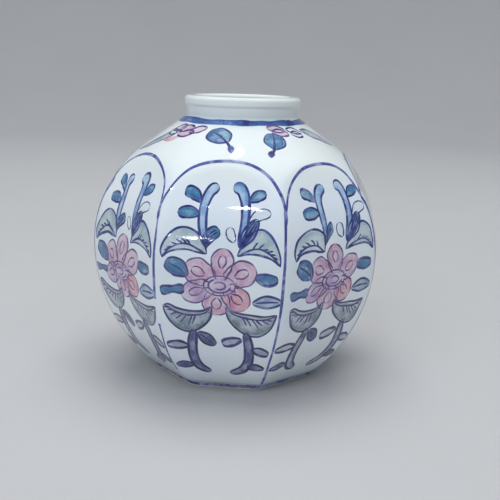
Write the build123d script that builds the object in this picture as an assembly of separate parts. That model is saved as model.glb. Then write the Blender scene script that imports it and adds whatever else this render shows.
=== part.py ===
from build123d import *
import os
from math import cos, pi, sqrt

# Octagonal ginger jar in porcelain, without a lid. Millimetres, +Z up. The origin is on the jar's axis, in
# the plane that the foot rests on, and the middle of the front panel faces -Y.
# The belly is a turned form cut by eight facets. A facet is straight across and curved up and down, and it
# runs out into the round shoulder in an arch. A collar with a rolled lip stands in the shoulder's opening, and
# a floor disc and a foot ring close the bottom. The painted lines are thin skins of colour on the porcelain.

# Driving dimensions
panel_count = 8
belly_mid_height = 36.0  # height of the widest part
facet_reach = 36.75  # axis to the middle of a facet, at the widest part
facet_arc_low = 48.3  # radius of the facet's curve below the widest part
facet_arc_high = 30.0  # and above it
facet_arc_rise = 14.6  # widest part up to where the facet goes on as a flat slope
ridge_softening = 0.33  # how far a ridge is worn back from the facets' sharp corner
ridge_tighter_low = 2.8  # how much less the radius of the ridge's lower curve is than the facet's
ridge_tighter_high = 0.5
shoulder_rise = 24.0  # widest part up to where the round shoulder goes on as a straight cone
wall = 2.6
foot_height = 1.9
foot_inset = 0.7  # step from the belly's lower edge in to the foot ring
foot_ring_width = 5.7
floor_thickness = 2.8
floor_ledge = 2.4  # how far the floor disc reaches over the foot ring
bore_radius = 12.2  # inside of the collar
collar_wall = 2.75
collar_height = 6.64  # from the shoulder's opening to the lip's top
collar_seat = 1.85  # width of the collar's flange outside its wall
collar_flare = 1.5  # radius of the hollow curve from flange to wall
lip_overhang = 0.45
lip_height = 2.7
lip_corner = 1.1  # radius of the rolled lip's edges
paint = 0.08  # thickness of a skin of colour
line_depth = 0.32  # how deep the facet lies under the ridges' turned form at a panel line's inner edge
neck_line_rise = 0.5  # how far the neck line climbs the collar's wall
foot_line_low = 0.45
foot_line_high = 1.35

facet_arc_top = belly_mid_height + facet_arc_rise
shoulder_height = belly_mid_height + shoulder_rise
ridge_reach = facet_reach / cos(pi / panel_count) - ridge_softening
ridge_arc_low = facet_arc_low - ridge_tighter_low
ridge_arc_high = facet_arc_high - ridge_tighter_high
neck_radius = bore_radius + collar_wall
seat_radius = neck_radius + collar_seat
far = 3 * ridge_reach  # well clear of the jar


def reach(greatest, arc, height):
    """Distance from the axis to an upright arc that is widest at the belly's middle."""
    return greatest - arc + sqrt(arc**2 - (height - belly_mid_height) ** 2)


def upright_arc(greatest, arc, low, high, offset):
    heights = (low, (low + high) / 2, high)
    return ThreePointArc(*[(reach(greatest, arc, z) + offset, 0, z) for z in heights])


# The shoulder's cone and the facet's slope leave their arcs along the tangent.
shoulder_radius = reach(ridge_reach, ridge_arc_high, shoulder_height)
cone_rise = (shoulder_radius - ridge_reach + ridge_arc_high) / (shoulder_height - belly_mid_height)
cone_cos = 1 / sqrt(1 + cone_rise**2)
slope_radius = reach(facet_reach, facet_arc_high, facet_arc_top)
slope_run = (facet_arc_top - belly_mid_height) / (slope_radius - facet_reach + facet_arc_high)


def cone_height(radius, lift=0.0):
    """Height of the shoulder's cone at a radius, or of a copy lifted along its normal."""
    return shoulder_height + cone_rise * (shoulder_radius - radius) + lift / cone_cos


jar_height = cone_height(seat_radius) + collar_height
foot_apothem = reach(facet_reach, facet_arc_low, foot_height) - foot_inset
foot_bore_radius = foot_apothem - foot_ring_width
floor_radius = foot_bore_radius + floor_ledge


def ridge_curve(low, offset=0.0):
    """Upright outline of the ridges and the shoulder, from a low height up to the collar's wall."""
    return [
        upright_arc(ridge_reach, ridge_arc_low, low, belly_mid_height, offset),
        upright_arc(ridge_reach, ridge_arc_high, belly_mid_height, shoulder_height, offset),
        Line(
            (shoulder_radius + offset, 0, shoulder_height),
            (neck_radius + offset, 0, cone_height(neck_radius)),
        ),
    ]


def facet_curve(low, offset=0.0):
    """Upright outline of a facet, from a low height to above the shoulder."""
    top = facet_arc_top + shoulder_rise
    return [
        upright_arc(facet_reach, facet_arc_low, low, belly_mid_height, offset),
        upright_arc(facet_reach, facet_arc_high, belly_mid_height, facet_arc_top, offset),
        Line(
            (slope_radius + offset, 0, facet_arc_top),
            (slope_radius + offset - slope_run * (top - facet_arc_top), 0, top),
        ),
    ]


def closed_face(edges, *corners):
    """A face in the XZ plane from a chain of edges that a run of corners closes."""
    closing = Polyline(edges[-1] @ 1, *corners, edges[0] @ 0)
    return make_face(Wire([*edges, *closing.edges()]))


def turned(face):
    return revolve(face, Axis.Z, 360)


def turned_form(edges):
    """The solid of revolution inside a chain of edges, closed flat at its top and bottom."""
    return turned(closed_face(edges, (0, 0, (edges[-1] @ 1).Z), (0, 0, (edges[0] @ 0).Z)))


def facet_form(offset=0.0):
    """Everything behind the front facet, with the facet as its only curved side."""
    edges = facet_curve(foot_height, offset)
    section = closed_face(edges, (-far, 0, (edges[-1] @ 1).Z), (-far, 0, foot_height))
    return extrude(section, far, dir=(0, 1, 0), both=True).rotate(Axis.Z, -90)


def turn(shape, index):
    """A copy turned on from the front panel to another one."""
    return shape.rotate(Axis.Z, 360 / panel_count * index)


def cylinder_between(radius, low, high):
    return Pos(0, 0, low) * Cylinder(radius, high - low, align=(Align.CENTER, Align.CENTER, Align.MIN))


def octagon_between(apothem, low, high):
    outline = RegularPolygon(apothem, panel_count, major_radius=False, rotation=180 / panel_count)
    return Pos(0, 0, low) * extrude(outline, high - low)


def build_belly():
    """Belly and shoulder in one shell, open for the collar above and for the floor below."""
    form = turned_form(ridge_curve(foot_height))
    for index in range(panel_count):
        form = form & turn(facet_form(), index)
    floor_top = foot_height + floor_thickness
    hollow = turned_form(facet_curve(floor_top, -wall)) & turned_form(ridge_curve(floor_top, -wall))
    opening = cylinder_between(seat_radius, shoulder_height, jar_height)
    floor_seat = cylinder_between(floor_radius, foot_height, floor_top)
    return form - hollow - opening - floor_seat


def flare_edges(lift=0.0):
    """The collar's sloping flange and the hollow curve up to its wall, lifted off the surface."""
    radius = collar_flare - lift
    centre_r = neck_radius + collar_flare
    centre_z = cone_height(centre_r, collar_flare)
    normal_r, normal_z = cone_rise * cone_cos, cone_cos
    halfway = Vector(1 + normal_r, 0, normal_z).normalized() * radius
    low = Vector(centre_r - radius * normal_r, 0, centre_z - radius * normal_z)
    middle = Vector(centre_r, 0, centre_z) - halfway
    high = Vector(centre_r - radius, 0, centre_z)
    rim = Vector(seat_radius, 0, cone_height(seat_radius, lift))
    return [Line(rim, low), ThreePointArc(low, middle, high)]


def build_collar():
    """Collar with a flange that carries on the shoulder, a hollow curve and a rolled lip."""
    under = shoulder_underside(seat_radius)
    flare = flare_edges()
    lip_low = jar_height - lip_height
    section = closed_face(
        [Line((seat_radius, 0, under), flare[0] @ 0), *flare],
        (neck_radius, 0, lip_low),
        (neck_radius + lip_overhang, 0, lip_low + lip_overhang),
        (neck_radius + lip_overhang, 0, jar_height),
        (bore_radius, 0, jar_height),
        (bore_radius, 0, under),
    )
    collar = turned(section)
    return fillet(collar.edges().filter_by_position(Axis.Z, jar_height, jar_height), lip_corner)


def shoulder_underside(radius):
    """Height of the hollow's cone at a radius: the ridge curve moved in by the wall."""
    return cone_height(radius + wall)


def build_floor():
    return cylinder_between(floor_radius, foot_height, foot_height + floor_thickness)


def build_foot_ring():
    bore = cylinder_between(foot_bore_radius, -foot_height, 2 * foot_height)
    return octagon_between(foot_apothem, 0, foot_height) - bore


def build_neck_line():
    """Ring of colour over the hollow curve at the collar's root."""
    inner, outer = flare_edges(), flare_edges(paint)
    top = (outer[-1] @ 1).Z + neck_line_rise
    inner_side = Polyline((neck_radius, 0, top), inner[-1] @ 1).edges()
    outer_side = Polyline(outer[-1] @ 1, (neck_radius + paint, 0, top), (neck_radius, 0, top)).edges()
    foot = Line(inner[0] @ 0, outer[0] @ 0)
    return turned(make_face(Wire([*outer, *outer_side, *inner_side, *inner, foot])))


def build_foot_line():
    skin = octagon_between(foot_apothem + paint, foot_line_low, foot_line_high)
    return skin - octagon_between(foot_apothem, 0, foot_height)


def build_panel_line():
    """The line just inside the front facet's edge, up both ridges and over the arch."""
    skin = (facet_form(paint) - facet_form()) & turned_form(ridge_curve(foot_height, paint))
    return skin - turned_form(ridge_curve(foot_height, -line_depth))


def save(shape, name):
    shape.label = name
    export_step(shape, f"parts/{name}.step")
    print(name, len(shape.solids()), "solid(s)", round(shape.volume, 2), "mm3")


os.makedirs("parts", exist_ok=True)
save(build_belly(), "belly_shell")
save(build_collar(), "neck_collar")
save(build_floor(), "floor_disc")
save(build_foot_ring(), "foot_ring")
save(build_neck_line(), "neck_line")
save(build_foot_line(), "foot_line")
panel_line = build_panel_line()
for index in range(panel_count):
    save(turn(panel_line, index), f"panel_line_{index + 1}")
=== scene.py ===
import math
import random

import bmesh
import bpy
from mathutils import Matrix, Vector, noise


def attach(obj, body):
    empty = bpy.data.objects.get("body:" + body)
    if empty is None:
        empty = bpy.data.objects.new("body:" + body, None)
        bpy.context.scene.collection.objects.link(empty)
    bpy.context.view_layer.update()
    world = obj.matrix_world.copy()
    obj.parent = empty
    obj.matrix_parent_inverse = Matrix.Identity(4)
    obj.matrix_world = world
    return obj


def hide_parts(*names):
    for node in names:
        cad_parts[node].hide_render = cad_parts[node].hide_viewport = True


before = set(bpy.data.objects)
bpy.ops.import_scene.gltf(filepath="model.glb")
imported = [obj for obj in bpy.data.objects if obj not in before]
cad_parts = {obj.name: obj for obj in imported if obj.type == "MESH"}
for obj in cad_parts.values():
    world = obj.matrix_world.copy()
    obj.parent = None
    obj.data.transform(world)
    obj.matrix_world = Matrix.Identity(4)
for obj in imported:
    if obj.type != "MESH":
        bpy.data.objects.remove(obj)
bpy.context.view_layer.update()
print("frame loaded:", len(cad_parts), "nodes")

# unless it is given a seed, the vector noise takes one from the clock
noise.seed_set(7)

# The script works in millimetres on the jar and turns a finished mesh into metres.
mm = 0.001

jar = {
    "panels": 8,
    "bellyMid": 36.0,
    "facetReach": 36.75,
    "facetArcLow": 48.3,
    "facetArcHigh": 30.0,
    "facetArcTop": 50.6,
    "ridgeSoftening": 0.33,
    "ridgeArcLow": 45.5,
    "ridgeArcHigh": 29.5,
    "shoulder": 60.0,
    "wall": 2.6,
    "footHeight": 1.9,
    "floorTop": 4.7,
    "floorReach": 18.66,
    "collarSeat": 16.8,
    "collarFoot": 65.51,
    "footApothem": 21.26,
    "footBore": 16.26,
    "softness": 0.6,  # how gently a facet runs into its ridges
    "wobble": 0.13,
    "shoulderNominal": 20.5,  # lengths along the shoulder are measured at this distance from the axis
    "middle": 34.0,  # outwards, for a stroke, is away from this height on the axis
}
panelAngle = 2 * math.pi / jar["panels"]


def arcReach(greatest, radius, z):
    return greatest - radius + math.sqrt(radius**2 - (z - jar["bellyMid"]) ** 2)


def facetAt(z):
    low = z < jar["bellyMid"]
    if z < jar["facetArcTop"]:
        return arcReach(jar["facetReach"], jar["facetArcLow"] if low else jar["facetArcHigh"], z)
    top = arcReach(jar["facetReach"], jar["facetArcHigh"], jar["facetArcTop"])
    slope = (jar["facetArcTop"] - jar["bellyMid"]) / (top - jar["facetReach"] + jar["facetArcHigh"])
    return top - slope * (z - jar["facetArcTop"])


ridgeReach = jar["facetReach"] / math.cos(panelAngle / 2) - jar["ridgeSoftening"]
shoulderReach = arcReach(ridgeReach, jar["ridgeArcHigh"], jar["shoulder"])
coneRise = (shoulderReach - ridgeReach + jar["ridgeArcHigh"]) / (jar["shoulder"] - jar["bellyMid"])


def ridgeAt(z):
    if z < jar["shoulder"]:
        return arcReach(ridgeReach, jar["ridgeArcLow"] if z < jar["bellyMid"] else jar["ridgeArcHigh"], z)
    return shoulderReach - (z - jar["shoulder"]) / coneRise


def coneHeight(reach):
    return jar["shoulder"] + coneRise * (shoulderReach - reach)


def softMin(a, b, blend):
    share = min(max(0.5 + 0.5 * (b - a) / blend, 0), 1)
    return b + (a - b) * share - blend * share * (1 - share)


def fromPanelMiddle(angle):
    return (angle + panelAngle / 2) % panelAngle - panelAngle / 2


def octagonReach(angle, apothem, corner, blend):
    return softMin(apothem / math.cos(fromPanelMiddle(angle)), corner, blend)


def fade(value, low, high):
    share = min(max((value - low) / (high - low), 0), 1)
    return share * share * (3 - 2 * share)


def wobble(angle, z):
    # the small unevenness of a wall pressed in a mould by hand
    at = Vector((1.3 * math.sin(angle), 1.3 * math.cos(angle), z * 0.055))
    return jar["wobble"] * noise.noise(at) * fade(z, 3, 8) * (1 - fade(z, 60, 66))


def wallReach(angle, z):
    return octagonReach(angle, facetAt(z), ridgeAt(z), jar["softness"]) + wobble(angle, z)


def polar(angle, reach, z):
    # angle 0 is the front panel's middle, on -Y, and it grows towards +X
    return Vector((reach * math.sin(angle), -reach * math.cos(angle), z))


def onWall(angle, z, lift):
    step = 0.02
    reach = wallReach(angle, z)
    point = polar(angle, reach, z)
    sideways = polar(angle + step / reach, wallReach(angle + step / reach, z), z) - point
    upwards = polar(angle, wallReach(angle, z + step), z + step) - point
    return point + sideways.cross(upwards).normalized() * lift


def turnFor(x, reach):
    return math.asin(max(-0.95, min(0.95, x / reach)))


def panelPlace(panel):
    # x runs to the right across a panel and z up it
    def place(x, z, lift):
        reach = facetAt(z)
        for _ in range(3):
            reach = wallReach(turnFor(x, reach), z)
        return onWall(panel * panelAngle + turnFor(x, reach), z, lift)

    return place


def shoulderPlace(x, reach, lift):
    # x runs along the shoulder from the front panel's middle, measured at the nominal reach
    if reach < shoulderReach:
        z = coneHeight(reach)
    else:
        inside = jar["ridgeArcHigh"] ** 2 - (reach - ridgeReach + jar["ridgeArcHigh"]) ** 2
        z = jar["bellyMid"] + math.sqrt(inside)
    return onWall(x / jar["shoulderNominal"], z, lift)


def ridgePlace(ridge):
    # x runs across the ridge between two panels and z up it
    def place(x, z, lift):
        return onWall((ridge + 0.5) * panelAngle + x / ridgeAt(z), z, lift)

    return place


# Shader building


class Value:
    # a socket that takes part in arithmetic, each operation adding its Math node
    def __init__(self, finish, socket):
        self.finish = finish
        self.socket = socket

    def math(self, operation, *others):
        return self.finish.add("ShaderNodeMath", {"operation": operation}, dict(enumerate((self, *others))))

    def __add__(self, other):
        return self.math("ADD", other)

    __radd__ = __add__

    def __mul__(self, other):
        return self.math("MULTIPLY", other)

    __rmul__ = __mul__

    def __sub__(self, other):
        return self.math("SUBTRACT", other)

    def __rsub__(self, other):
        return self.finish.add("ShaderNodeMath", {"operation": "SUBTRACT"}, {0: other, 1: self})

    def away(self):
        return self.math("ABSOLUTE")

    def within(self, low=0.0, high=1.0):
        return self.math("MAXIMUM", low).math("MINIMUM", high)

    def between(self, low, high):
        # 0 below low and 1 above high, with soft ends
        settings = {"interpolation_type": "SMOOTHSTEP"}
        inputs = {"Value": self, "From Min": low, "From Max": high}
        return self.finish.add("ShaderNodeMapRange", settings, inputs)


class Finish:
    # a material with its node tree
    def __init__(self, name):
        self.material = bpy.data.materials.new(name)
        self.material.use_nodes = True
        self.tree = self.material.node_tree
        self.tree.nodes.clear()
        coordinates = self.tree.nodes.new("ShaderNodeTexCoord")
        self.place = Value(self, coordinates.outputs["Object"])

    def add(self, kind, settings=None, inputs=None, output=0):
        node = self.tree.nodes.new(kind)
        for name, setting in (settings or {}).items():
            setattr(node, name, setting)
        for name, value in (inputs or {}).items():
            if isinstance(value, Value):
                self.tree.links.new(value.socket, node.inputs[name])
            else:
                node.inputs[name].default_value = value
        return Value(self, node.outputs[output])

    def noise(self, scale, detail=2.0, roughness=0.5):
        inputs = {"Vector": self.place, "Scale": scale, "Detail": detail, "Roughness": roughness}
        return self.add("ShaderNodeTexNoise", None, inputs)

    def attribute(self, name):
        return self.add("ShaderNodeAttribute", {"attribute_name": name}, None, "Fac")

    def height(self):
        return self.add("ShaderNodeSeparateXYZ", None, {0: self.place}, "Z")

    def mix(self, factor, first, second):
        # colours in, colour out
        inputs = {"Factor": factor, 6: first, 7: second}
        return self.add("ShaderNodeMix", {"data_type": "RGBA"}, inputs, 2)

    def bump(self, height, strength, distance):
        inputs = {"Height": height, "Strength": strength, "Distance": distance}
        return self.add("ShaderNodeBump", None, inputs)

    def surface(self, constants, links):
        shader = self.add("ShaderNodeBsdfPrincipled", None, {**constants, **links})
        output = self.tree.nodes.new("ShaderNodeOutputMaterial")
        self.tree.links.new(shader.socket, output.inputs["Surface"])
        return self.material


def rgb(red, green, blue):
    return (red, green, blue, 1.0)


glaze = {
    "clear": rgb(0.765, 0.85, 0.94),
    "litShoulder": rgb(0.82, 0.885, 0.885),  # painted light: the upward-facing shoulder and neck, whiter and greener as if lit and reflecting from above
    "milky": rgb(0.855, 0.915, 0.92),
    "pooled": rgb(0.62, 0.76, 0.83),  # thick glaze in the hollows is bluer
    "speck": rgb(0.30, 0.24, 0.20),
    "litShoulderRise": (0.050, 0.062),  # this and the next three are in metres
    "neckHollow": 0.0685,
    "neckPool": 0.0025,
    "footPool": (0.002, 0.0065),
    "cloudScale": 55.0,
    "speckScale": 190.0,
    "speckSize": (0.022, 0.04),
    "seldomScale": 31.0,  # most places have no specks
    "rippleScale": 260.0,
    "rippleHeight": 0.00002,
    "paintHeight": 0.00003,
    "gloss": {"Specular IOR Level": 0.55, "IOR": 1.5, "Coat Weight": 0.5, "Coat Roughness": 0.03},
}


def porcelainColour(finish):
    clouds = finish.noise(glaze["cloudScale"], 3.0, 0.55).between(0.35, 0.68)
    height = finish.height()
    # painted light: the glaze turns whiter and greener up the shoulder, as if lit from above
    body = finish.mix(height.between(*glaze["litShoulderRise"]), glaze["clear"], glaze["litShoulder"])
    body = finish.mix(clouds * 0.6, body, glaze["milky"])
    nearNeck = 1 - (height - glaze["neckHollow"]).away().between(0.0, glaze["neckPool"])
    nearFoot = 1 - height.between(*glaze["footPool"])
    body = finish.mix(nearNeck.math("MAXIMUM", nearFoot) * 0.6, body, glaze["pooled"])
    inputs = {"Vector": finish.place, "Scale": glaze["speckScale"], "Randomness": 1.0}
    cells = finish.add("ShaderNodeTexVoronoi", {"feature": "F1"}, inputs, "Distance")
    speck = 1 - cells.between(*glaze["speckSize"])
    seldom = finish.noise(glaze["seldomScale"], 1.0).between(0.58, 0.62)
    return finish.mix(speck * seldom * 0.55, body, glaze["speck"])


def glazedSurface(finish, colour, relief=None):
    ripple = finish.noise(glaze["rippleScale"], 2.0)
    normal = finish.bump(ripple, 0.35, glaze["rippleHeight"])
    if relief is not None:
        inputs = {"Height": relief, "Strength": 0.5, "Distance": glaze["paintHeight"], "Normal": normal}
        normal = finish.add("ShaderNodeBump", None, inputs)
    roughness = 0.02 + 0.035 * finish.noise(120.0, 3.0)
    return finish.surface(glaze["gloss"], {"Base Color": colour, "Roughness": roughness, "Normal": normal})


def porcelainFinish():
    finish = Finish("porcelainGlaze")
    return glazedSurface(finish, porcelainColour(finish))


# what deepens a wash, each with its share
washLook = {
    "base": 0.28,
    "cloud": 0.45,
    "streak": 0.5,
    "rim": 0.25,
    "start": 0.3,  # where the brush was set down
    "tilt": 0.3,  # one edge more than the other
}


def washFinish(name, pale, deep, cover):
    # a translucent wash: paler in its middle, deeper where the brush stopped, streaked and uneven
    finish = Finish(name)
    across = finish.attribute("across")
    along = finish.attribute("along")
    load = finish.attribute("load")
    lean = finish.attribute("lean")
    cloud = finish.noise(300.0, 3.0, 0.6).between(0.3, 0.7)
    fine = finish.noise(1300.0, 2.0, 0.6)
    rim = across.away().between(0.35, 0.95)
    pigment = washLook["base"] + washLook["cloud"] * cloud + washLook["streak"] * (fine - 0.5)
    pigment = pigment + washLook["rim"] * rim + washLook["start"] * (0.5 - along)
    pigment = (pigment + washLook["tilt"] * (across * lean)).within()
    colour = finish.mix(pigment, pale, deep)
    thin = 1 - across.away().between(0.82, 1.0)
    cover = (cover * load * (0.55 + 0.35 * cloud + 0.3 * pigment)).within() * thin
    return glazedSurface(finish, finish.mix(cover, porcelainColour(finish), colour), fine * cover)


def lineFinish(name, pale, deep, cover):
    # a fine brush line, darker where the brush slowed down
    finish = Finish(name)
    across = finish.attribute("across").away()
    load = finish.attribute("load")
    slow = finish.noise(380.0, 2.0, 0.6).between(0.3, 0.7)
    colour = finish.mix(slow, pale, deep)
    soft = 1 - 0.4 * across.between(0.7, 1.0)
    cover = (cover * load * (0.72 + 0.45 * slow)).within() * soft
    return glazedSurface(finish, finish.mix(cover, porcelainColour(finish), colour), cover)


def inkFinish():
    # the thick blots where a full brush met the band
    finish = Finish("bandInk")
    colour = finish.mix(finish.noise(500.0, 2.0), rgb(0.005, 0.012, 0.10), rgb(0.014, 0.035, 0.24))
    return glazedSurface(finish, colour)


def biscuitFinish():
    # the unglazed foot: fine grit and a little rubbed-in dirt
    finish = Finish("bareBiscuit")
    grit = finish.noise(1800.0, 4.0, 0.7)
    stain = finish.noise(140.0, 4.0, 0.6).between(0.45, 0.75)
    colour = finish.mix(grit, rgb(0.50, 0.45, 0.38), rgb(0.66, 0.61, 0.53))
    colour = finish.mix(stain * 0.6, colour, rgb(0.30, 0.24, 0.19))
    normal = finish.bump(grit, 0.6, 0.00006)
    return finish.surface({}, {"Base Color": colour, "Roughness": 0.62 + 0.25 * grit, "Normal": normal})


finishes = {
    "porcelain": porcelainFinish(),
    "biscuit": biscuitFinish(),
    "stemBlue": washFinish("paleBlueWash", rgb(0.27, 0.50, 0.76), rgb(0.07, 0.24, 0.55), 0.95),
    # painted shade: a darker, greyer stem wash for strokes low on the jar, where shadow falls
    "stemDusk": washFinish("duskBlueWash", rgb(0.17, 0.20, 0.40), rgb(0.05, 0.06, 0.20), 1.0),
    # painted shade: a darker small-leaf wash for the same low strokes
    "dusk": washFinish("duskWash", rgb(0.12, 0.17, 0.34), rgb(0.022, 0.035, 0.15), 1.1),
    # a slate grey-green: the shoulder's long leaves' own colour, and the lower broad leaves' grey-green
    # with painted shade
    "duskGreen": washFinish("duskGreenWash", rgb(0.40, 0.45, 0.60), rgb(0.14, 0.21, 0.25), 1.0),
    "teal": washFinish("tealWash", rgb(0.11, 0.35, 0.52), rgb(0.008, 0.08, 0.27), 1.1),
    "greyGreen": washFinish("greyGreenWash", rgb(0.44, 0.57, 0.56), rgb(0.20, 0.34, 0.40), 0.8),
    "lilac": washFinish("lilacWash", rgb(0.60, 0.42, 0.60), rgb(0.38, 0.22, 0.46), 0.9),
    "pink": washFinish("pinkWash", rgb(0.68, 0.42, 0.54), rgb(0.50, 0.24, 0.42), 0.85),
    "red": washFinish("redWash", rgb(0.72, 0.28, 0.36), rgb(0.60, 0.14, 0.22), 0.85),
    "bandBlue": washFinish("bandBlueWash", rgb(0.07, 0.18, 0.48), rgb(0.015, 0.045, 0.25), 1.4),
    "bandInk": inkFinish(),
    "cobalt": lineFinish("cobaltLine", rgb(0.13, 0.16, 0.46), rgb(0.04, 0.055, 0.28), 1.1),
    "outline": lineFinish("outlineLine", rgb(0.07, 0.10, 0.34), rgb(0.014, 0.022, 0.15), 1.25),
    # painted shade: a darker outline for the strokes low on the jar
    "duskLine": lineFinish("duskLine", rgb(0.07, 0.07, 0.24), rgb(0.015, 0.015, 0.09), 1.35),
    "plum": lineFinish("plumLine", rgb(0.18, 0.11, 0.33), rgb(0.07, 0.035, 0.17), 1.25),
}
print("finishes made:", len(finishes))

# Meshes


def meshObject(name, bm, materials):
    for vert in bm.verts:
        vert.co *= mm
    for face in bm.faces:
        face.smooth = True
    mesh = bpy.data.meshes.new(name)
    bm.to_mesh(mesh)
    bm.free()
    for material in materials:
        mesh.materials.append(material)
    made = bpy.data.objects.new(name, mesh)
    bpy.context.scene.collection.objects.link(made)
    return made


def finishPiece(name, bm, materials, nodes, sharpAngle):
    for edge in bm.edges:
        if edge.is_manifold and edge.calc_face_angle() > sharpAngle:
            edge.smooth = False
    piece = meshObject(name, bm, [finishes[material] for material in materials])
    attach(piece, "root")
    if nodes:
        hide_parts(*nodes)


def roundCorner(centre, radius, start, end, count):
    # points of an arc in a profile, by angles in degrees from the outward direction
    angles = [math.radians(start + (end - start) * n / count) for n in range(count + 1)]
    return [(centre[0] + radius * math.cos(a), centre[1] + radius * math.sin(a)) for a in angles]


def spunMesh(profile, steps, closed=True):
    bm = bmesh.new()
    verts = [bm.verts.new((reach, 0, z)) for reach, z in profile]
    ends = verts[1:] + verts[:1] if closed else verts[1:]
    edges = [bm.edges.new(pair) for pair in zip(verts, ends)]
    turn = {"axis": (0, 0, 1), "cent": (0, 0, 0), "angle": 2 * math.pi, "steps": steps}
    bmesh.ops.spin(bm, geom=verts + edges, use_merge=True, **turn)
    bmesh.ops.remove_doubles(bm, verts=bm.verts, dist=0.0005)
    bmesh.ops.recalc_face_normals(bm, faces=bm.faces)
    return bm


def turnAndReach(point):
    return math.atan2(point.x, -point.y), math.hypot(point.x, point.y)


belly = {
    "steps": 240,
    "outerRings": 96,
    "innerRings": 30,
    "innerTop": (26.0, 3.2),  # the inner wall ends under the shoulder at this reach, this far down
    "ridgeGather": 0.45,  # how much closer the mesh lines lie at a ridge
    "footEdge": 0.5,
}


def makeBelly():
    low = jar["footHeight"]
    top = coneHeight(jar["collarSeat"])
    edge = belly["footEdge"]
    profile = []
    for n in range(belly["outerRings"] + 1):
        z = low + edge + (top - low - edge) * n / belly["outerRings"]
        profile.append((ridgeAt(z), z))
    profile.append((jar["collarSeat"], jar["collarFoot"]))
    reach, depth = belly["innerTop"]
    rim = coneHeight(reach) - depth
    for n in range(belly["innerRings"] + 1):
        z = rim + (jar["floorTop"] - rim) * n / belly["innerRings"]
        profile.append((facetAt(z) - jar["wall"], z))
    profile.append((jar["floorReach"], jar["floorTop"]))
    profile.append((jar["floorReach"], low))
    profile.append((ridgeAt(low) - edge, low))
    bm = spunMesh(profile, belly["steps"])
    outerLow = low + edge * 0.5
    for vert in bm.verts:
        angle, reach = turnAndReach(vert.co)
        angle += belly["ridgeGather"] / jar["panels"] * math.sin(jar["panels"] * fromPanelMiddle(angle))
        z = vert.co.z
        isOuter = z > outerLow and abs(reach - ridgeAt(z)) < 0.01
        isFootEdge = z < outerLow and reach > jar["floorReach"] + 1
        if isOuter or isFootEdge:
            reach = wallReach(angle, z) - (0 if isOuter else edge)
        vert.co = polar(angle, reach, z)
    finishPiece("belly_glazed_wall", bm, ["porcelain"], ["belly_shell"], 0.6)


collar = {
    "steps": 160,
    "wallReach": 14.95,
    "wallHeights": (69.9, 70.4, 70.9),
    "hollow": 1.2,
    "lipLow": 71.2,
    "lipFull": 72.15,
    "lipReach": 15.42,
    "lipHollow": 0.5,
    "lipCorner": 1.15,
    "top": 74.0,
    "bore": 12.2,
    "boreHeights": (70.5, 68.0, 66.3),
    "boreCorner": 0.8,
}


def flarePoints():
    lean = math.atan(coneRise)
    reach = collar["wallReach"] + collar["hollow"]
    centre = reach, coneHeight(reach) + collar["hollow"] / math.cos(lean)
    return roundCorner(centre, collar["hollow"], 270 - math.degrees(lean), 180, 10)


def makeCollar():
    wall, bore, lip, seat = collar["wallReach"], collar["bore"], collar["lipReach"], jar["collarSeat"]
    corner, hollow, boreCorner = collar["lipCorner"], collar["lipHollow"], collar["boreCorner"]
    cornerHeight = collar["top"] - corner
    profile = [(seat, jar["collarFoot"]), (seat, coneHeight(seat))] + flarePoints()
    profile += [(wall, z) for z in collar["wallHeights"]]
    profile += roundCorner((wall + hollow, collar["lipLow"]), hollow, 180, 120, 4)
    profile += roundCorner((lip - hollow, collar["lipFull"]), hollow, -40, 0, 4)
    profile += roundCorner((lip - corner, cornerHeight), corner, 0, 90, 9)
    profile += roundCorner((bore + corner, cornerHeight), corner, 90, 180, 9)
    profile += [(bore, z) for z in collar["boreHeights"]]
    profile += roundCorner((bore + boreCorner, jar["collarFoot"] + boreCorner), boreCorner, 180, 270, 5)
    bm = spunMesh(profile, collar["steps"])
    finishPiece("neck_and_rolled_lip", bm, ["porcelain"], ["neck_collar"], 0.9)


foot = {
    "steps": 192,
    "bevel": 0.4,
    "cornerCut": 0.35,
    "softness": 0.5,
    "edgeHeight": 1.2,
    "nominal": 21.0,  # lengths along the foot's line are measured at this distance from the axis
}


def footReach(angle):
    corner = jar["footApothem"] / math.cos(panelAngle / 2) - foot["cornerCut"]
    return octagonReach(angle, jar["footApothem"], corner, foot["softness"])


def makeFoot():
    outer, bore, high, bevel = jar["footApothem"], jar["footBore"], jar["footHeight"], foot["bevel"]
    profile = [(outer, high), (outer, foot["edgeHeight"])]
    profile += roundCorner((outer - bevel, bevel), bevel, 0, -90, 4)
    profile += roundCorner((bore + bevel, bevel), bevel, -90, -180, 4)
    profile.append((bore, high))
    bm = spunMesh(profile, foot["steps"])
    middle = (outer + bore) / 2
    for vert in bm.verts:
        angle, reach = turnAndReach(vert.co)
        if reach > middle:
            reach += footReach(angle) - outer
        vert.co = polar(angle, reach, vert.co.z)
    finishPiece("bare_foot_ring", bm, ["biscuit"], ["foot_ring"], 0.9)


makeBelly()
makeCollar()
makeFoot()
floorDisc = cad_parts["floor_disc"]
for materialSlot in floorDisc.material_slots:
    materialSlot.material = finishes["porcelain"]
print("walls made")

# Painting

brush = {
    "crown": 0.009,  # how far the middle of a stroke stands proud
    "washLift": 0.006,
    "lineLift": 0.014,
    "outlineWidth": 0.60,
    "veinWidth": 0.48,
    "misplacing": 0.14,  # a wash lies a little beside its outline
    "duskBelow": 27.0,  # painted shade: the lower part of the jar lies in shadow, so strokes that start below this height take darker, greyer paints
    "unevenness": (0.72, 1.25),
    "least": 0.06,  # a stroke stays at least this wide where it comes to a point
    "skin": 0.08,  # how deep the closed back of a stroke lies
}


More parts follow.
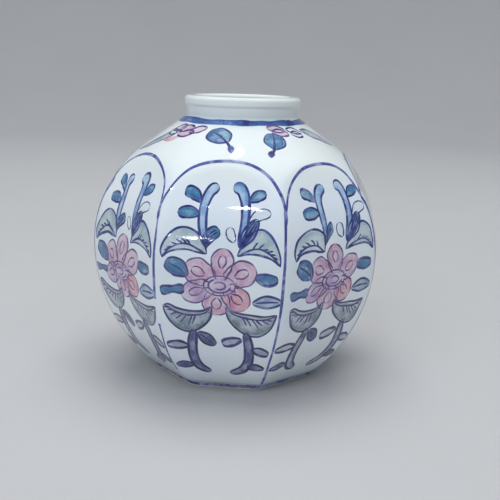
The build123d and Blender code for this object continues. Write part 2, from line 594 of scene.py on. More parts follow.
def smoothLine(points):
    # a curve through the points, from t = 0 at the first to t = 1 at the last
    points = [Vector(p) for p in points]
    steps = [(b - a).length for a, b in zip(points, points[1:])]
    places = [0.0]
    for step in steps:
        places.append(places[-1] + step)
    total = places[-1]
    tangents = []
    for n in range(len(points)):
        before, after = max(n - 1, 0), min(n + 1, len(points) - 1)
        tangents.append((points[after] - points[before]) / (places[after] - places[before]))

    def at(t):
        reach = min(max(t, 0), 1) * total
        n = 0
        while n < len(steps) - 1 and reach > places[n + 1]:
            n += 1
        span = steps[n]
        s = (reach - places[n]) / span
        start, end = points[n], points[n + 1]
        return (
            start * (2 * s**3 - 3 * s**2 + 1)
            + tangents[n] * span * (s**3 - 2 * s**2 + s)
            + end * (3 * s**2 - 2 * s**3)
            + tangents[n + 1] * span * (s**3 - s**2)
        )

    at.length = total
    return at


def widthAlong(widths, t):
    place = min(max(t, 0), 1) * (len(widths) - 1)
    n = min(int(place), len(widths) - 2)
    s = place - n
    s = s * s * (3 - 2 * s)
    return widths[n] * (1 - s) + widths[n + 1] * s


def sidesOf(line, widths, startCap, endCap):
    # the two edges of a stroke of changing width with rounded ends
    def edge(side):
        def at(t):
            ahead = (line(min(t + 0.01, 1)) - line(max(t - 0.01, 0))).normalized()
            across = Vector((-ahead.y, ahead.x))
            width = widthAlong(widths, t)
            if t < startCap:
                width *= math.sqrt(max(0, 1 - (1 - t / startCap) ** 2))
            if t > 1 - endCap:
                width *= math.sqrt(max(0, 1 - ((t - 1 + endCap) / endCap) ** 2))
            return line(t) + across * (side * width / 2)

        at.length = line.length
        return at

    return edge(1), edge(-1)


def rowEnds(left, right, along):
    # both ends of a row across a strip, kept just apart where the strip comes to a point
    low, high = left(along), right(along)
    if (high - low).length < brush["least"]:
        inside = 0.5 + (along - 0.5) * 0.9
        across = (right(inside) - left(inside)).normalized() * (brush["least"] / 2)
        middle = (low + high) / 2
        low, high = middle - across, middle + across
    return low, high


def moved(curve, shift):
    return lambda t: curve(t) + shift


class Canvas:
    # the strokes of one piece, all laid on one stretch of the wall
    def __init__(self, place, materials, seed, warp=None):
        self.bm = bmesh.new()
        self.place = place
        self.materials = materials
        self.random = random.Random(seed)
        self.warp = warp
        names = ("along", "across", "load", "lean")
        self.layers = {name: self.bm.verts.layers.float.new(name) for name in names}

    def spot(self, point, lift):
        if self.warp:
            point = self.warp(point)
        return self.place(point.x, point.y, lift)

    def patch(self, left, right, material, load, lift, crown, rows, columns, ringed=False, lean=None):
        # a strip between two edges; its faces look outwards, so the edges trade sides when they have to
        start, end = left(0.5).lerp(right(0.5), 0.5), left(0.52).lerp(right(0.52), 0.5)
        corners = [self.spot(point, lift) for point in (start, end, right(0.5))]
        normal = (corners[1] - corners[0]).cross(corners[2] - corners[0])
        lean = self.random.uniform(-1, 1) if lean is None else lean
        if normal.dot(corners[0] - Vector((0, 0, jar["middle"]))) < 0:
            left, right, lean = right, left, -lean
        made = bmesh.ops.create_grid(self.bm, x_segments=rows, y_segments=columns, size=0.5)
        index = self.materials.index(material)
        edges = {}
        for vert in made["verts"]:
            along = vert.co.x + 0.5
            across = vert.co.y * 2
            key = round(along, 5)
            if key not in edges:
                edges[key] = rowEnds(left, right, along)
            low, high = edges[key]
            rise = crown * (1 - across**2)
            if not ringed:
                rise *= min(1, 4 * along * (1 - along) + 0.3)
            vert.co = self.spot(low.lerp(high, (across + 1) / 2), lift + rise)
            vert[self.layers["along"]] = along
            vert[self.layers["across"]] = across
            vert[self.layers["load"]] = load
            vert[self.layers["lean"]] = lean
            for face in vert.link_faces:
                face.material_index = index

    def line(self, curve, width, material, load, taper=0.12, lift=None, rows=None):
        # a fine line along a curve, with slightly uneven weight
        weights = [width * self.random.uniform(*brush["unevenness"]) for _ in range(6)]
        left, right = sidesOf(curve, weights, taper, taper)
        rows = rows or max(8, min(60, int(curve.length / 0.32)))
        rise = brush["lineLift"] if lift is None else lift
        self.patch(left, right, material, load, rise, brush["crown"] * 0.8, rows, 4)

    def wash(self, sides, material, load, rows, columns, lean=None):
        # a wash between two edges, put down a little beside them
        reach = brush["misplacing"]
        shift = Vector((self.random.uniform(-reach, reach), self.random.uniform(-reach, reach)))
        fill = [moved(side, shift) for side in sides]
        self.patch(*fill, material, load, brush["washLift"], brush["crown"], rows, columns, lean=lean)

    def edgeLines(self, sides, weight, material):
        for side in sides:
            self.line(side, brush["outlineWidth"] * weight, material, self.random.uniform(0.85, 1.1))

    def stroke(self, spine, widths, material, load, caps, outline, lineMaterial="outline"):
        # a loaded brush stroke and the fine line round it
        line = smoothLine(spine)
        sides = sidesOf(line, widths, *caps)
        load *= self.random.uniform(0.88, 1.12)
        self.wash(sides, material, load, max(10, min(40, int(line.length / 0.35))), 8)
        if outline:
            self.edgeLines(sides, outline, lineMaterial)

    def leaf(self, upper, lower, material, load, outline, lineMaterial="outline", lean=None):
        # a broad leaf between two edges that share their ends
        sides = smoothLine(lower), smoothLine(upper)
        rows = max(14, int(max(side.length for side in sides) / 0.4))
        load *= self.random.uniform(0.9, 1.1)
        self.wash(sides, material, load, rows, 12, lean)
        self.edgeLines(sides, outline, lineMaterial)
        return sides

    def rib(self, sides, share, side, count, material):
        # a rib near one edge of a broad leaf, with short strokes fanning from it
        lower, upper = sides

        def at(t):
            bow = share + 0.10 * math.sin(math.pi * t)
            return lower(0.06 + 0.9 * t).lerp(upper(0.06 + 0.9 * t), bow)

        at.length = lower.length * 0.85
        self.line(at, brush["outlineWidth"] * 0.85, material, 0.95)
        for n in range(count):
            t = 0.28 + 0.66 * (n + self.random.uniform(0.2, 0.6)) / count
            start = at(t)
            far = min(t * 0.96 + 0.13, 1)
            reach = share + side * self.random.uniform(0.24, 0.42)
            end = lower(far).lerp(upper(far), reach)
            bend = start.lerp(end, 0.5) + Vector((0.18, 0.12)) * self.random.uniform(-1, 1)
            self.line(smoothLine([start, bend, end]), brush["veinWidth"], material, 0.95, 0.4)

    def finish(self, name, slot, nodes=()):
        # a second skin inside the wall closes each stroke along its rim
        bm = self.bm
        bmesh.ops.remove_doubles(bm, verts=bm.verts, dist=0.0005)
        made = bmesh.ops.duplicate(bm, geom=bm.verts[:] + bm.edges[:] + bm.faces[:])["geom"]
        bmesh.ops.reverse_faces(bm, faces=[part for part in made if isinstance(part, bmesh.types.BMFace)])
        middle = Vector((0, 0, jar["middle"]))
        for vert in made:
            if isinstance(vert, bmesh.types.BMVert) and not vert.is_boundary:
                vert.co -= (vert.co - middle).normalized() * brush["skin"]
        rim = [vert for vert in bm.verts if vert.is_boundary]
        bmesh.ops.remove_doubles(bm, verts=rim, dist=0.00005)
        finishPiece(name, bm, self.materials, nodes, 0.7)


# where parts of the motif start, and how far each moves on the panels beside the front one
nudges = {
    1: [
        (-4.2, 48, 2.8, 0.6), (-1, 54.6, 2.3, -0.8), (5.6, 49.5, 1.9, 0.2), (2.3, 54.3, 2.9, 0),
        (-8.8, 53.2, 2.8, -0.4), (-10.1, 48.4, 2.8, -0.3), (9.9, 53.1, 1.9, -0.2), (11.4, 48.9, 1.1, 0.2),
        (-7.5, 44.8, 3.6, -0.7), (-13, 39.5, 2.3, 0.3), (9.6, 45.2, 2, -0.3), (14.2, 38, -0.4, 1.5),
        (0.2, 32.7, 1, 0.2), (-10, 35.7, 1.5, -0.9), (-10.9, 30.5, 1.3, -1.2), (11.3, 33.8, -0.8, 1.2),
        (11.4, 28.4, -0.8, 1.4), (-13.2, 26.2, 1.7, 0), (13.6, 25.2, -1.8, -0.4), (-6.1, 19.3, 1.9, 0),
        (-6.6, 15.4, 0.9, -0.2), (-6.4, 11.5, 0.3, 0.7), (7.1, 15, 0.8, -0.6), (6.5, 19.2, 0.8, 0),
    ],
    7: [
        (-4.2, 48, 0.9, -0.6), (-1, 54.6, -3.1, -1), (5.6, 49.5, -2.7, -1), (2.3, 54.3, -1.1, 0.9),
        (-8.8, 53.2, 0.7, 0), (-10.1, 48.4, 1, 0.4), (9.9, 53.1, -3.2, -0.5), (11.4, 48.9, -3.4, -0.6),
        (-12.9, 41.6, 0.4, -1.2), (-7.5, 44.8, 0.4, 0.8), (9.6, 45.2, -1.5, -0.3), (13.2, 42.1, -0.6, -0.6),
        (14, 38, -0.7, 0.2), (0.2, 32.7, -1.8, -1.3), (-10, 35.7, 0.8, -2), (11.3, 33.8, -1.4, 0.4),
        (6.5, 15, -0.8, 0.3), (-6.5, 15, 0.4, 0.3), (7, 24, -0.8, -0.5), (-7, 24, 0.3, -0.5),
    ],
}
nudging = {"hold": 0.35, "spread": 14.0, "drift": 1.1, "driftScale": 0.10}


def warpFor(panel):
    # every panel repeats the same motif by hand, so its parts lie a little differently
    moves = nudges.get(panel)

    def warp(point):
        if moves:
            total, sumX, sumY = nudging["hold"], 0.0, 0.0
            for x, y, moveX, moveY in moves:
                weight = math.exp(-((point.x - x) ** 2 + (point.y - y) ** 2) / nudging["spread"])
                total += weight
                sumX += weight * moveX
                sumY += weight * moveY
            return Vector((point.x + sumX / total, point.y + sumY / total))
        scale = nudging["driftScale"]
        at = Vector((point.x * scale, point.y * scale, panel * 3.7))
        return point + noise.noise_vector(at).xy * nudging["drift"]

    return None if panel == 0 else warp


# every piece draws its strokes from its own seed
seeds = {
    "stems": 100, "leaves": 200, "flower": 300, "border": 400,
    "neckBand": 500, "footLine": 510, "sprays": 600,
}

# each stem: its spine, then its widths along it
stems = [
    ([(-2.9, 40.6), (-3.9, 44), (-4.3, 47.6), (-3.9, 51), (-2.8, 53.3), (-1.1, 54.5)],
     [0.6, 1.5, 1.75, 1.75, 2, 2.5]),
    ([(4.7, 41), (5.4, 45), (5.6, 49), (5.1, 52), (4, 53.9), (2.2, 54.1)],
     [0.6, 1.5, 1.6, 1.7, 2.2, 2.6]),
    ([(-6.1, 20.2), (-6.7, 15.4), (-6.5, 11.5), (-5.4, 8.6), (-2.7, 6.8)],
     [1.3, 1.9, 1.9, 2, 1.4]),
    ([(6.4, 20.2), (7.1, 15), (6.7, 11.1), (5.1, 8.3), (2, 6.6)],
     [1.3, 1.9, 1.9, 1.9, 1.5]),
]

# each small leaf: its spine, its widths, its load, its outline's weight and how many inner strokes it has
smallLeaves = [
    ([(-4.8, 50.6), (-6.8, 52.6), (-9, 53.2)], [0.7, 2.3, 2.4], 1.05, 1, 0),
    ([(-4.8, 48), (-7.4, 48.5), (-10.2, 48.3)], [0.9, 2.5, 2.1], 1.05, 1, 0),
    ([(-3.2, 41), (-2.4, 43.4), (-0.2, 45)], [0.9, 2.6, 2.8], 1.2, 1, 2),
    ([(6.2, 51.2), (8.1, 52.5), (10.1, 53)], [0.8, 2.2, 1.7], 1.1, 1, 0),
    ([(6.4, 46.9), (9, 48.6), (11.5, 48.9)], [0.9, 2.4, 2], 0.1, 0.55, 0),
    ([(4.8, 40.8), (6.6, 44.2), (8.6, 47.6)], [0.9, 2.9, 1.8], 1.15, 1, 3),
    ([(3.4, 42.2), (2.5, 44), (2.2, 45.6)], [1, 2, 1.8], 0.05, 0.55, 0),
    ([(-7.2, 33.9), (-9.7, 35.9), (-12.6, 37.1)], [1.6, 4, 3], 1.1, 1.2, 1),
    ([(-8, 30.7), (-10.9, 30.5), (-13.8, 29.9)], [2.5, 1.3, 2.6], 1.2, 1.3, 0),
    ([(8.7, 34.5), (11.3, 33.9), (13.9, 34.1)], [1.9, 2.6, 1.8], 1.1, 1.3, 0),
    ([(8, 27.9), (11.4, 28.5), (14.9, 28.6)], [1.4, 3, 1.7], 0.6, 1, 1),
    ([(-7.3, 15.1), (-10.2, 15.3), (-13.1, 15)], [1, 2.2, 1.6], 0.45, 1.1, 0),
    ([(-5.2, 19.4), (-3.4, 17.9), (-1, 15.8)], [1.3, 2.8, 1.7], 1.1, 1, 1),
    ([(-6.9, 8.9), (-9.3, 8.9), (-11.5, 8.4)], [1.1, 2, 0.9], 1.1, 1, 0),
    ([(5.4, 18), (3.2, 17.2), (0.6, 16.4)], [1, 2.2, 2.2], 0.5, 1.15, 0),
    ([(7.6, 15.3), (9.6, 14.6), (11.8, 13.8)], [1, 2.2, 1.7], 0.55, 1, 0),
    ([(6.3, 9.3), (8.4, 9.3), (10.6, 9)], [1.1, 2, 0.9], 1, 1, 0),
]

# each broad leaf: its upper edge, its lower edge, the rib's place and the side of its veins, and its load
broadLeaves = [
    ([(-2.8, 39.4), (-3.6, 42), (-5.2, 44), (-7.6, 45.1), (-9.9, 44.9), (-11.8, 43.5), (-13.2, 41.4),
      (-13.7, 39.6), (-13.3, 38)],
     [(-2.8, 39.4), (-5.2, 39.7), (-7.5, 40.2), (-10, 40), (-12, 39.3), (-13.3, 38)],
     0.16, 1, 0.85),
    ([(4.2, 39.2), (5.6, 42.3), (7.4, 44.6), (9.6, 45.4), (11.5, 44.4), (13.1, 42.2), (14.1, 39.6),
      (14.3, 37.2)],
     [(4.2, 39.2), (7, 39.8), (9.9, 39.6), (12.3, 38.8), (14.3, 37.2)],
     0.14, 1, 0.95),
    ([(-1.6, 26.6), (-3.8, 25.3), (-7, 25.1), (-10, 25.7), (-12, 26.6), (-13.3, 26.2)],
     [(-1.6, 26.6), (-2, 23.6), (-3.8, 21.2), (-6.6, 19.5), (-9.1, 19.8), (-11.4, 21.7), (-12.8, 24.2),
      (-13.3, 26.2)],
     0.70, -1, 0.85),
    ([(1.7, 26.6), (4, 25.4), (7.4, 24.9), (10.8, 24.7), (13.8, 25.3)],
     [(1.7, 26.6), (2.3, 23.6), (4.2, 21.1), (7, 19.3), (9.6, 19.2), (12.2, 21.3), (13.8, 25.3)],
     0.72, -1, 0.9),
]

flower = {
    "centre": (0.2, 32.5),
    "core": (0.25, 31.9),
    "coreSize": (3.7, 2.4),
    # each petal: its middle's direction in degrees, its reach from the centre, its width and its wash
    "petals": [
        (84, 8.4, 5.3, "pink"),
        (24, 9.4, 6.3, "pink"),
        (-158, 9.6, 5.7, "lilac"),
        (152, 9.2, 6.4, "pink"),
        (-98, 8.2, 6.8, "pink"),
        (-42, 8.9, 6.1, "red"),
    ],
    "bloomSize": (5.6, 4.4),  # the wash under the petals
    "petalStart": 1.6,
    "petalWidths": (0.56, 0.88, 1.02, 0.94),
    "loopReach": (0.30, 0.54, 0.76),
    "loopWidths": (0.20, 0.34, 0.34),
    # the core's rings: size, where each starts and how far it turns
    "rings": [(1.0, 0.4, 5.9), (0.70, 2.0, 4.2), (0.38, 4.0, 5.0)],
    "rays": 8,
    "rayReach": (0.66, 1.22),
    "coreLift": 0.016,
    "inkLift": 0.026,
}


def paintStems(panel):
    materials = ["stemBlue", "stemDusk", "teal", "dusk", "outline", "duskLine"]
    canvas = Canvas(panelPlace(panel), materials, seeds["stems"] + panel, warpFor(panel))
    for spine, widths in stems:
        # painted shade: stems low on the panel take the darker wash and line
        low = spine[0][1] < brush["duskBelow"]
        wash, ink = ("stemDusk", "duskLine") if low else ("stemBlue", "outline")
        canvas.stroke(spine, widths, wash, 0.95, (0.1, 0.12), 1.25 if low else 1.1, ink)
    for spine, widths, load, weight, strokes in smallLeaves:
        # painted shade: small leaves low on the panel take the darker wash and line
        low = spine[0][1] < brush["duskBelow"]
        wash, ink = ("dusk", "duskLine") if low else ("teal", "outline")
        canvas.stroke(spine, widths, wash, load, (0.3, 0.28), weight * (1.25 if low else 1.0), ink)
        sides = sidesOf(smoothLine(spine), [width * 0.8 for width in widths], 0.3, 0.3)
        for n in range(strokes):
            share = 0.5 + (n - (strokes - 1) / 2) * 0.8 * 0.4
            points = [sides[0](t).lerp(sides[1](t), share) for t in (0.1, 0.4, 0.65, 0.9)]
            canvas.line(smoothLine(points), brush["veinWidth"] * 1.2, ink, 0.95, 0.3)
    canvas.finish(f"stems_and_buds_{panel + 1}", "leaf_enamel")


def paintLeaves(panel):
    materials = ["greyGreen", "duskGreen", "outline", "duskLine"]
    canvas = Canvas(panelPlace(panel), materials, seeds["leaves"] + panel, warpFor(panel))
    for upper, lower, share, side, load in broadLeaves:
        # painted shade: broad leaves low on the panel take the darker slate wash and the shaded line
        low = upper[0][1] < brush["duskBelow"]
        wash, ink = ("duskGreen", "duskLine") if low else ("greyGreen", "outline")
        sides = canvas.leaf(upper, lower, wash, load, 1.0, ink, -1.7 if low else 0.8)
        canvas.rib(sides, share, side, 7, ink)
    canvas.finish(f"broad_leaves_{panel + 1}", "leaf_enamel")


def ellipse(centre, size, start, turn):
    # a full or part turn round an oval, as a curve
    def at(t):
        angle = start + turn * t
        return centre + Vector((size[0] * math.cos(angle), size[1] * math.sin(angle)))

    at.length = abs(turn) * (size[0] + size[1]) / 2
    return at


def paintFlower(panel):
    materials = ["pink", "red", "lilac", "plum"]
    canvas = Canvas(panelPlace(panel), materials, seeds["flower"] + panel, warpFor(panel))
    centre = Vector(flower["centre"])
    bloom = [ellipse(centre, flower["bloomSize"], math.pi, side * math.pi) for side in (1, -1)]
    canvas.patch(*bloom, "pink", 0.9, brush["washLift"] * 0.5, 0.002, 20, 10)
    for direction, reach, width, material in flower["petals"]:
        angle = math.radians(direction + canvas.random.uniform(-3, 3))
        ahead = Vector((math.cos(angle), math.sin(angle)))
        start = centre + ahead * flower["petalStart"]
        end = centre + ahead * reach
        spine = smoothLine([start, start.lerp(end, 0.5), end])
        widths = [width * share for share in flower["petalWidths"]]
        sides = sidesOf(spine, widths, 0.05, 0.5)
        canvas.patch(*sides, material, 1.0, brush["washLift"], brush["crown"], 20, 10)
        canvas.edgeLines(sides, 0.8, "plum")
        loop = smoothLine([start.lerp(end, share) for share in flower["loopReach"]])
        loopSides = sidesOf(loop, [width * share for share in flower["loopWidths"]], 0.5, 0.5)
        canvas.edgeLines(loopSides, 0.75, "plum")
    wide, tall = flower["coreSize"]
    centre = Vector(flower["core"])
    middle = [ellipse(centre, (wide * 0.95, tall * 0.95), math.pi, side * math.pi) for side in (1, -1)]
    canvas.patch(*middle, "lilac", 1.0, flower["coreLift"], brush["crown"], 16, 10)
    rise = flower["inkLift"]
    for share, start, turn in flower["rings"]:
        oval = ellipse(centre, (wide * share, tall * share), start, turn)
        canvas.line(oval, brush["outlineWidth"] * 0.75, "plum", 0.95, 0.1, rise)
    for n in range(flower["rays"]):
        angle = 2 * math.pi * (n + 0.4) / flower["rays"]
        ray = Vector((math.cos(angle) * wide, math.sin(angle) * tall))
        start, end = [centre + ray * share for share in flower["rayReach"]]
        line = smoothLine([start, start.lerp(end, 0.5), end])
        canvas.line(line, brush["veinWidth"], "plum", 0.85, 0.4, rise)
    canvas.finish(f"flower_{panel + 1}", "petal_enamel")


border = {
    "width": 0.62,
    # how far the line lies beside a ridge, from the foot up to the arch
    "beside": {0: [0.1, -0.35, -0.2, 0.0, 0.1, 0.4, 0.95], 7: [-1.0, -1.1, -0.6, -0.5, -0.3, -0.3, -0.9]},
    "low": 2.4,
    "high": 50.0,
    "arch": [
        (-14, 51), (-12.3, 53.9), (-10.6, 56), (-8.4, 57.8), (-5.6, 59), (-2.5, 59.6), (0.6, 59.8),
        (3.6, 59.6), (6.2, 59), (8.6, 57.9), (10.8, 56.3), (12.6, 54.1), (14, 51.6),
    ],
    "rightArch": [
        (-11.9, 50.6), (-10.9, 52.4), (-9.5, 54.2), (-7.8, 55.8), (-5.9, 57.1), (-3.6, 58.2), (-0.8, 58.8),
        (1.6, 59), (4.4, 58.9), (7, 58.3), (9.4, 56.9), (10.9, 54.9), (12, 52.6),
    ],
    "leftArch": [
        (-12.6, 52.6), (-11.4, 55.2), (-9.5, 57.2), (-7, 58.6), (-4.4, 59.4), (-1.5, 59.6), (1.4, 59.3),
        (4.3, 58.4), (7.3, 56.9), (9.9, 54.9), (11.4, 52.8),
    ],
    "archFeet": (46.0, 48.2),
    "brokenRuns": [(50.0, 27.3), (20.4, 6.0)],  # the line on the last ridge misses a stretch
    "spot": (20.9, 20.3, 19.7),  # the dot where its lower run starts
    "lift": 0.02,
}


def besideRidge(ridge, z):
    ridge %= jar["panels"]
    if ridge in border["beside"]:
        return widthAlong(border["beside"][ridge], (z - border["low"]) / (border["high"] - border["low"]))
    return noise.noise(Vector((z * 0.06, ridge * 5.3, 0.4))) * 1.2


def paintBorder(panel):
    canvas = Canvas(panelPlace(panel), ["cobalt"], seeds["border"] + panel)

    def foot(side, z):
        ridge = panel if side > 0 else panel - 1
        return side * ridgeAt(z) * math.sin(panelAngle / 2) + besideRidge(ridge, z), z

    arch = {1: border["rightArch"], 7: border["leftArch"]}.get(panel, border["arch"])
    if panel not in (0, 1, 7):
        sway = [noise.noise_vector(Vector((x * 0.1, z * 0.1, panel * 2.9))) for x, z in arch]
        arch = [(x + move.x * 0.9, z + move.y * 0.6) for (x, z), move in zip(arch, sway)]
    low, high = border["archFeet"]
    line = smoothLine([foot(-1, low), foot(-1, high), *arch, foot(1, high), foot(1, low)])
    canvas.line(line, border["width"], "cobalt", 0.95, 0.05, border["lift"], 130)
    canvas.place = ridgePlace(panel)
    broken = panel == jar["panels"] - 1
    for high, low in border["brokenRuns"] if broken else [(border["high"], border["low"])]:
        heights = [high + (low - high) * n / 12 for n in range(13)]
        line = smoothLine([(besideRidge(panel, z), z) for z in heights])
        canvas.line(line, border["width"] * 1.1, "cobalt", 1.0, 0.02, border["lift"], 90)
    if broken:
        spot = [(besideRidge(panel, z), z) for z in border["spot"]]
        canvas.line(smoothLine(spot), 1.0, "cobalt", 1.1, 0.5, 0.03)
    canvas.finish(f"panel_border_{panel + 1}", "blue_line", [f"panel_line_{panel + 1}"])


def turnedPlace(points, nominal):
    # x runs round the axis, measured at the nominal reach, and y up a turned profile
    profile = smoothLine(points)

    def place(x, y, lift):
        t = y / profile.length
        at, after = profile(t), profile(t + 0.01)
        rise = (after - at).normalized() if (after - at).length else (at - profile(t - 0.01)).normalized()
        return polar(x / nominal, at.x + rise.y * lift, at.y - rise.x * lift)

    return place


def raggedRing(around, height, sway, waves, seed):
    # the uneven edge of a band that runs all the way round
    def at(t):
        turn = 2 * math.pi * t
        ragged = noise.noise(Vector((math.sin(turn) * waves, math.cos(turn) * waves, seed)))
        return Vector((around * t, height + sway * ragged))

    return at


neckBand = {
    "nominal": 16.0,
    "startReach": (17.4, 16.8, 16.2),
    "topHeight": 70.2,
    "low": (0.55, 0.35),  # an edge's place up the profile, and how far it strays
    "high": (2.85, 0.45),
    "waves": 4,
    "blots": [(0.18, 0.08), (0.98, 0.13), (2.6, 0.12), (4.4, 0.15)],  # angle round the neck and size
    "blotLift": 0.034,
}


def paintNeckBand():
    profile = [(reach, coneHeight(reach)) for reach in neckBand["startReach"]] + flarePoints()
    profile.append((collar["wallReach"], neckBand["topHeight"]))
    canvas = Canvas(turnedPlace(profile, neckBand["nominal"]), ["bandBlue", "bandInk"], seeds["neckBand"])
    around = 2 * math.pi * neckBand["nominal"]
    low = raggedRing(around, *neckBand["low"], neckBand["waves"], 1.0)
    high = raggedRing(around, *neckBand["high"], neckBand["waves"], 7.0)
    canvas.patch(low, high, "bandBlue", 1.0, 0.01, 0.03, 320, 8, True)
    for angle, size in neckBand["blots"]:
        x = angle * neckBand["nominal"]
        spine = [(x - size * 12, 1.4), (x, 1.75), (x + size * 12, 1.9)]
        sides = sidesOf(smoothLine(spine), [0.9, 2.1, 1.6], 0.3, 0.3)
        canvas.patch(*sides, "bandInk", 1.0, neckBand["blotLift"], 0.012, 16, 6)
    canvas.finish("neck_band", "blue_line", ["neck_line"])


footLine = {"low": (0.5, 0.16), "high": (1.35, 0.16), "waves": 5}


def paintFootLine():
    def place(x, y, lift):
        angle = x / foot["nominal"]
        return polar(angle, footReach(angle) + lift, y)

    canvas = Canvas(place, ["cobalt"], seeds["footLine"])
    around = 2 * math.pi * foot["nominal"]
    low = raggedRing(around, *footLine["low"], footLine["waves"], 2.0)
    high = raggedRing(around, *footLine["high"], footLine["waves"], 9.0)
    canvas.patch(low, high, "cobalt", 0.85, 0.012, 0.03, 320, 6, True)
    canvas.finish("foot_line_paint", "blue_line", ["foot_line"])


# the shoulder sprays: angles in degrees from the front panel's middle, then the distance from the axis
sprays = {
    "leaves": [
        ([(-17, 18.7), (-8.5, 17.9), (-0.5, 19.5), (-1, 21.9)],
         [(-17, 18.7), (-17.2, 20.8), (-9, 22.3), (-1, 21.9)]),
        ([(31.5, 19.2), (36.5, 20.6), (34.5, 22.8), (27, 24)],
         [(31.5, 19.2), (25, 19.6), (22, 21.6), (27, 24)]),
    ],
    "ribs": [
        [(-15.5, 18.9), (-8, 20.2), (-1, 22.6), (1.2, 24.6)],
        [(30.5, 18.8), (28.8, 21.3), (26.5, 23.8), (24, 25.3)],
    ],
    "tails": [[(-0.8, 22.6), (0.8, 23.6), (1.6, 25)], [(26, 24.2), (24, 25.2), (23, 26.3)]],
    "petals": [
        [(-21, 18), (-28, 18.7), (-35, 19.6)],
        [(-33, 18.2), (-40, 18.6), (-48, 19.2)],
        [(-30, 19.6), (-37, 20.2), (-44, 20.6)],
        [(-42, 18), (-49, 18.7), (-55, 19.6)],
        [(27, 17.4), (34, 17.7), (43, 18.3)],
        [(30, 18.6), (37, 18.9), (44, 19.4)],
    ],
    "blushes": [[(-39, 21.4), (-45, 22.4), (-51, 23.2)]],
    "buds": [
        [(-47, 20.4), (-52, 20.2), (-57, 19.8)],
        [(44, 18), (51, 18.4), (58, 19.2)],
        [(46, 19.2), (51, 19.5), (57, 20)],
    ],
    "longLeaves": [
        [(-44, 19.2), (-52, 21), (-60, 23.6), (-69, 27.4)],
        [(59, 18.4), (68, 19.6), (77, 21.4), (86, 24.4)],
    ],
}


def paintSpray(number, turn):
    nominal = jar["shoulderNominal"]
    seed = seeds["sprays"] + number

    def laid(points):
        return [(math.radians(angle) * nominal, reach) for angle, reach in points]

    def place(x, reach, lift):
        return shoulderPlace(x + turn * nominal, reach, lift)

    canvas = Canvas(place, ["teal", "duskGreen", "lilac", "outline"], seed)
    for upper, lower in sprays["leaves"]:
        canvas.leaf(laid(upper), laid(lower), "teal", 1.12, 0.95)
    for rib in sprays["ribs"]:
        canvas.line(smoothLine(laid(rib)), 0.6, "outline", 1.1, 0.25)
    for tail in sprays["tails"]:
        canvas.stroke(laid(tail), [0.7, 1.5, 1.1], "outline", 0.95, (0.3, 0.4), 0)
    for leaf in sprays["longLeaves"]:
        canvas.stroke(laid(leaf), [1.0, 2.8, 2.3, 0.5], "duskGreen", 0.8, (0.2, 0.2), 0.75)
    for bud in sprays["buds"]:
        canvas.stroke(laid(bud), [1.0, 1.9, 1.2], "lilac", 0.25, (0.35, 0.35), 0.85)
    canvas.finish(f"shoulder_leaves_{number}", "leaf_enamel")
    canvas = Canvas(place, ["pink", "red", "plum"], seed + 10)
    for petal in sprays["petals"]:
        canvas.stroke(laid(petal), [1.2, 2.1, 1.4], "pink", 0.85, (0.35, 0.35), 0.95, "plum")
    for blush in sprays["blushes"]:
        canvas.stroke(laid(blush), [1.2, 1.8, 1.0], "red", 0.8, (0.4, 0.4), 0)
    canvas.finish(f"shoulder_flowers_{number}", "petal_enamel")


for panel in range(jar["panels"]):
    paintStems(panel)
    paintLeaves(panel)
    paintFlower(panel)
    paintBorder(panel)
print("panels painted")
paintNeckBand()
paintFootLine()
paintSpray(1, 0.0)
paintSpray(2, math.pi)
print("bands and shoulder painted")

# Stage

floorSize = {"flat": 700.0, "cove": 700.0, "wall": 1800.0}


def makeFloor():
    flat, cove = floorSize["flat"], floorSize["cove"]
    profile = [(0.5, 0.0), (60.0, 0.0), (flat, 0.0)]
    profile += roundCorner((flat, cove), cove, -90, 0, 24)
    profile.append((flat + cove, floorSize["wall"]))
    bm = spunMesh(profile, 96, closed=False)
    bm.faces.ensure_lookup_table()
    if bm.faces[0].normal.z < 0:
        bmesh.ops.reverse_faces(bm, faces=bm.faces)
    finish = Finish("paleFloor")
    colour = finish.mix(finish.noise(9.0, 3.0), rgb(0.52, 0.52, 0.53), rgb(0.56, 0.56, 0.565))
    floor = meshObject("floor", bm, [finish.surface({"Roughness": 0.6}, {"Base Color": colour})])


makeFloor()


def areaLight(name, place, size, power, turn, colour=(1, 1, 1)):
    light = bpy.data.lights.new(name, "AREA")
    light.shape = "RECTANGLE"
    light.size, light.size_y = size
    light.energy = power
    light.color = colour
    lamp = bpy.data.objects.new(name, light)
    lamp.location = place
    lamp.rotation_euler = turn
    bpy.context.scene.collection.objects.link(lamp)
    return lamp


def softLamp(name, place, size, power, colour):
    # a lamp aimed at the jar's middle that doesn't show in its glaze
    turn = (Vector((0, 0, 0.04)) - Vector(place)).to_track_quat("-Z", "Y").to_euler()
    areaLight(name, place, size, power, turn, colour).visible_glossy = False


view = {
    "azimuth": 7.15,
    "distance": 0.2120,
    "height": 0.0818,
    "pitch": 0.230,
    "yaw": 0.0145,
    "roll": 0.030,
    "lens": 56.7,
}
sparkleDistance = 1.2  # metres from a reflection to its lamp


def sparkle(name, place, azimuth, elevation, size, power):
    # a small bright lamp whose reflection shows at a place on the jar, given in millimetres
    level = math.cos(math.radians(elevation))
    ahead = polar(math.radians(azimuth), level, math.sin(math.radians(elevation)))
    # its long side lies level for the camera
    above = ahead.cross(polar(math.radians(view["azimuth"] + 90), 1, 0)).normalized()
    turn = Matrix((above.cross(ahead), above, ahead)).transposed().to_euler()
    areaLight(name, Vector(place) * mm + ahead * sparkleDistance, size, power, turn)


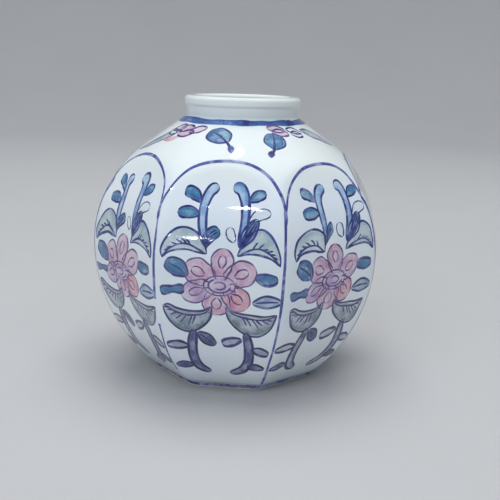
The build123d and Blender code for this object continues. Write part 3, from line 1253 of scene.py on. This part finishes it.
softLamp("overheadSoftbox", (0.0, 0.10, 1.0), (0.8, 0.8), 6.9, (1.0, 1.0, 0.97))
softLamp("frontFill", (-0.35, -0.85, 0.55), (0.6, 0.5), 2.3, (0.90, 0.95, 1.0))
sparkle("ceilingLamp1", (6.4, -33.1, 50.0), -9.3, 44.6, (0.052, 0.026), 0.6)
sparkle("ceilingLamp2", (-12.3, -31.4, 53.1), -42.8, 50.4, (0.014, 0.012), 0.42)
sparkle("ceilingLamp3", (13.6, -32.7, 50.6), 56.1, 46.4, (0.014, 0.012), 0.42)
sparkle("ceilingLamp4", (13.8, -30.4, 53.5), 30.0, 52.0, (0.014, 0.012), 0.42)
sparkle("overheadLamp", (2.2, -25.2, 61.4), -160.8, 77.0, (0.13, 0.003), 0.045)
sparkle("lowWindow", (-5.9, -36.0, 42.9), -10.8, 14.4, (0.02, 0.05), 0.16)

world = bpy.data.worlds.new("paleRoom")
world.use_nodes = True
world.node_tree.nodes["Background"].inputs["Color"].default_value = rgb(0.80, 0.88, 1.0)
world.node_tree.nodes["Background"].inputs["Strength"].default_value = 0.55
bpy.context.scene.world = world


def makeCamera():
    azimuth = math.radians(view["azimuth"])
    turn = Matrix.Rotation(azimuth, 3, "Z")
    right = turn @ Vector((math.cos(view["yaw"]), -math.sin(view["yaw"]), 0))
    level = turn @ Vector((math.sin(view["yaw"]), math.cos(view["yaw"]), 0))
    ahead = level * math.cos(view["pitch"]) - Vector((0, 0, math.sin(view["pitch"])))
    above = level * math.sin(view["pitch"]) + Vector((0, 0, math.cos(view["pitch"])))
    tilted = right * math.cos(view["roll"]) + above * math.sin(view["roll"])
    upright = above * math.cos(view["roll"]) - right * math.sin(view["roll"])
    camera = bpy.data.objects.new("camera", bpy.data.cameras.new("camera"))
    camera.data.lens = view["lens"]
    camera.data.sensor_width = 36.0
    camera.data.clip_start = 0.01
    place = Matrix((tilted, upright, -ahead)).transposed().to_4x4()
    place.translation = turn @ Vector((0, -view["distance"], view["height"]))
    camera.matrix_world = place
    bpy.context.scene.collection.objects.link(camera)
    bpy.context.scene.camera = camera


makeCamera()
bpy.context.scene.view_settings.view_transform = "Standard"
print("stage set")
